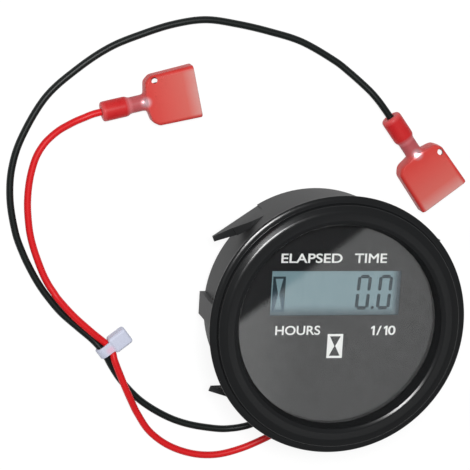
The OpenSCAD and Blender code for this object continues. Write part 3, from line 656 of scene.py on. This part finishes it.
def make_sleeve(name, wire_end, heading, scale):
    """A sleeve along its stations, punched with its small hole and turned to its place."""
    nylon = red_nylon(name + "_nylon", wire_end, heading, scale)
    bm = bmesh.new()
    along, radius, half_wide, half_high = sleeve_stations[0]
    ring = bmesh.ops.create_circle(bm, cap_ends=True, segments=56, radius=radius)["verts"]
    bmesh.ops.rotate(bm, cent=(0, 0, 0), matrix=Matrix.Rotation(math.pi / 56, 3, "Z"), verts=ring)
    bmesh.ops.rotate(bm, cent=(0, 0, 0), matrix=Matrix.Rotation(math.pi / 2, 3, "Y"), verts=ring)
    bmesh.ops.translate(bm, vec=(along, 0, 0), verts=ring)
    rim = bm.edges[:]
    for next_along, next_radius, next_wide, next_high in sleeve_stations[1:]:
        grown = bmesh.ops.extrude_edge_only(bm, edges=rim)["geom"]
        rim = [e for e in grown if isinstance(e, bmesh.types.BMEdge)]
        ring = [v for v in grown if isinstance(v, bmesh.types.BMVert)]
        widen = next_radius / radius
        for side, up in ((1, 1), (1, -1), (-1, 1), (-1, -1)):
            quarter = [v for v in ring if v.co.y * side > 0 and v.co.z * up > 0]
            centre = Matrix.Translation((0, -side * half_wide, -up * half_high))
            bmesh.ops.scale(bm, vec=(1, widen, widen), space=centre, verts=quarter)
            step = (next_along - along, side * (next_wide - half_wide), up * (next_high - half_high))
            bmesh.ops.translate(bm, vec=step, verts=quarter)
        along, radius, half_wide, half_high = next_along, next_radius, next_wide, next_high
    bmesh.ops.contextual_create(bm, geom=rim)
    bmesh.ops.recalc_face_normals(bm, faces=bm.faces)
    turn = Matrix.Rotation(math.radians(heading), 4, "Z") @ Matrix.Scale(scale, 4)
    place = Matrix.Translation((*wire_end, 2.5)) @ turn
    bmesh.ops.transform(bm, matrix=place, verts=bm.verts)
    sleeve = make_piece(name, bm, nylon)
    # The hole runs askew through both walls, so that the table shows through it
    bm = bmesh.new()
    pin = bmesh.ops.create_cone(bm, cap_ends=True, segments=28, radius1=0.72, radius2=0.72, depth=16)["verts"]
    lean = towards_eye.to_track_quat("Z", "Y").to_matrix()
    bmesh.ops.rotate(bm, cent=(0, 0, 0), matrix=lean, verts=pin)
    bmesh.ops.translate(bm, vec=place @ Vector((13.15, 4.9, 2.2)), verts=pin)
    punch = make_piece("punch", bm, nylon)
    combine(sleeve, punch, "DIFFERENCE")
    return sleeve


red_sleeve = make_sleeve("red_lead_connector", (-50.95, 43.11), 14, 0.955)
black_sleeve = make_sleeve("black_lead_connector", (15.5, 43), -52.5, 1.0)
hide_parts("red_lead_sleeve")
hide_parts("black_lead_sleeve")

# Studio: a white table, a flash box close above the camera and a grey room.
# The table looks white to the camera and in reflections, and keeps a faint shadow.
bm = bmesh.new()
bmesh.ops.create_grid(bm, x_segments=1, y_segments=1, size=6)
table_mesh = bpy.data.meshes.new("table")
bm.to_mesh(table_mesh)
bm.free()
table = bpy.data.objects.new("table", table_mesh)
scene.collection.objects.link(table)
white_table = bpy.data.materials.new("white_table")
white_table.use_nodes = True
tree = white_table.node_tree
tree.nodes.remove(tree.nodes["Principled BSDF"])
bounce = add_node(tree, "ShaderNodeBsdfDiffuse", {"Color": (0.8, 0.8, 0.8, 1)})
faint = add_node(tree, "ShaderNodeBsdfDiffuse", {"Color": (0.15, 0.15, 0.15, 1)})
glow = add_node(tree, "ShaderNodeEmission", {"Color": (1, 1, 1, 1), "Strength": 0.88})
seen = add_node(tree, "ShaderNodeAddShader", {0: faint.outputs["BSDF"], 1: glow.outputs["Emission"]})
path = add_node(tree, "ShaderNodeLightPath")
mirrored = add_node(
    tree,
    "ShaderNodeMath",
    {0: path.outputs["Is Camera Ray"], 1: path.outputs["Is Glossy Ray"]},
    operation="MAXIMUM",
)
looked_at = add_node(
    tree,
    "ShaderNodeMath",
    {0: mirrored.outputs["Value"], 1: path.outputs["Is Transmission Ray"]},
    operation="MAXIMUM",
)
choice = add_node(
    tree,
    "ShaderNodeMixShader",
    {0: looked_at.outputs["Value"], 1: bounce.outputs["BSDF"], 2: seen.outputs["Shader"]},
)
tree.links.new(choice.outputs["Shader"], tree.nodes["Material Output"].inputs["Surface"])
table_mesh.materials.append(white_table)

flash_side = 0.14
flash_radiance = 52
flash_data = bpy.data.lights.new("flash_box", "AREA")
flash_data.size = flash_side
flash_data.energy = flash_radiance * math.pi * flash_side**2
flash = bpy.data.objects.new("flash_box", flash_data)
scene.collection.objects.link(flash)
flash_line = Vector((-0.18, 0.275, 0.944))
flash.location = aim + 0.62 * flash_line
flash.rotation_mode = "QUATERNION"
flash.rotation_quaternion = flash_line.to_track_quat("Z", "Y")
world = bpy.data.worlds.new("grey_room")
scene.world = world
world.use_nodes = True
world.node_tree.nodes["Background"].inputs["Color"].default_value = (1, 1, 1, 1)
world.node_tree.nodes["Background"].inputs["Strength"].default_value = 0.22

# Overhead panel: a round white board that the lens mirrors into the lower right of the dial.
# A straight shadow edge crosses it, its left side is the brighter one, and it is faintly mottled.
bm = bmesh.new()
bmesh.ops.create_circle(bm, cap_ends=True, segments=64, radius=0.052)
bmesh.ops.translate(bm, vec=(0.1401, -0.1219, 0.4727), verts=bm.verts)
panel_mesh = bpy.data.meshes.new("overhead_panel")
bm.to_mesh(panel_mesh)
bm.free()
panel = bpy.data.objects.new("overhead_panel", panel_mesh)
scene.collection.objects.link(panel)
panel.visible_camera = False
lit_board = bpy.data.materials.new("lit_white_board")
lit_board.use_nodes = True
tree = lit_board.node_tree
tree.nodes.remove(tree.nodes["Principled BSDF"])
place = add_node(tree, "ShaderNodeTexCoord").outputs["Object"]
edge_place = add_node(
    tree,
    "ShaderNodeMapping",
    {"Vector": place, "Location": (0.0954, -0.117, 0.0), "Rotation": (0, 0, math.radians(37.7))},
    vector_type="TEXTURE",
)
across = add_node(tree, "ShaderNodeSeparateXYZ", {"Vector": edge_place.outputs["Vector"]})
edge = fade(tree, across.outputs["Y"], (-0.0008, -0.005), (0.0, 1.0))
axes = add_node(tree, "ShaderNodeSeparateXYZ", {"Vector": place})
fall = fade(tree, axes.outputs["X"], (0.096, 0.128), (1.6, 1.08))
lit = add_node(tree, "ShaderNodeMath", {0: edge, 1: fall}, operation="MULTIPLY")
mottle = add_node(tree, "ShaderNodeTexNoise", {"Vector": place, "Scale": 260, "Detail": 4})
patches = add_node(
    tree,
    "ShaderNodeMapRange",
    {"Value": mottle.outputs["Fac"], "From Min": 0.3, "From Max": 0.7, "To Min": 0.88, "To Max": 1.12},
)
strength = add_node(
    tree, "ShaderNodeMath", {0: lit.outputs["Value"], 1: patches.outputs["Result"]}, operation="MULTIPLY"
)
glow = add_node(tree, "ShaderNodeEmission", {"Color": (1, 1, 1, 1), "Strength": strength.outputs["Value"]})
tree.links.new(glow.outputs["Emission"], tree.nodes["Material Output"].inputs["Surface"])
panel_mesh.materials.append(lit_board)
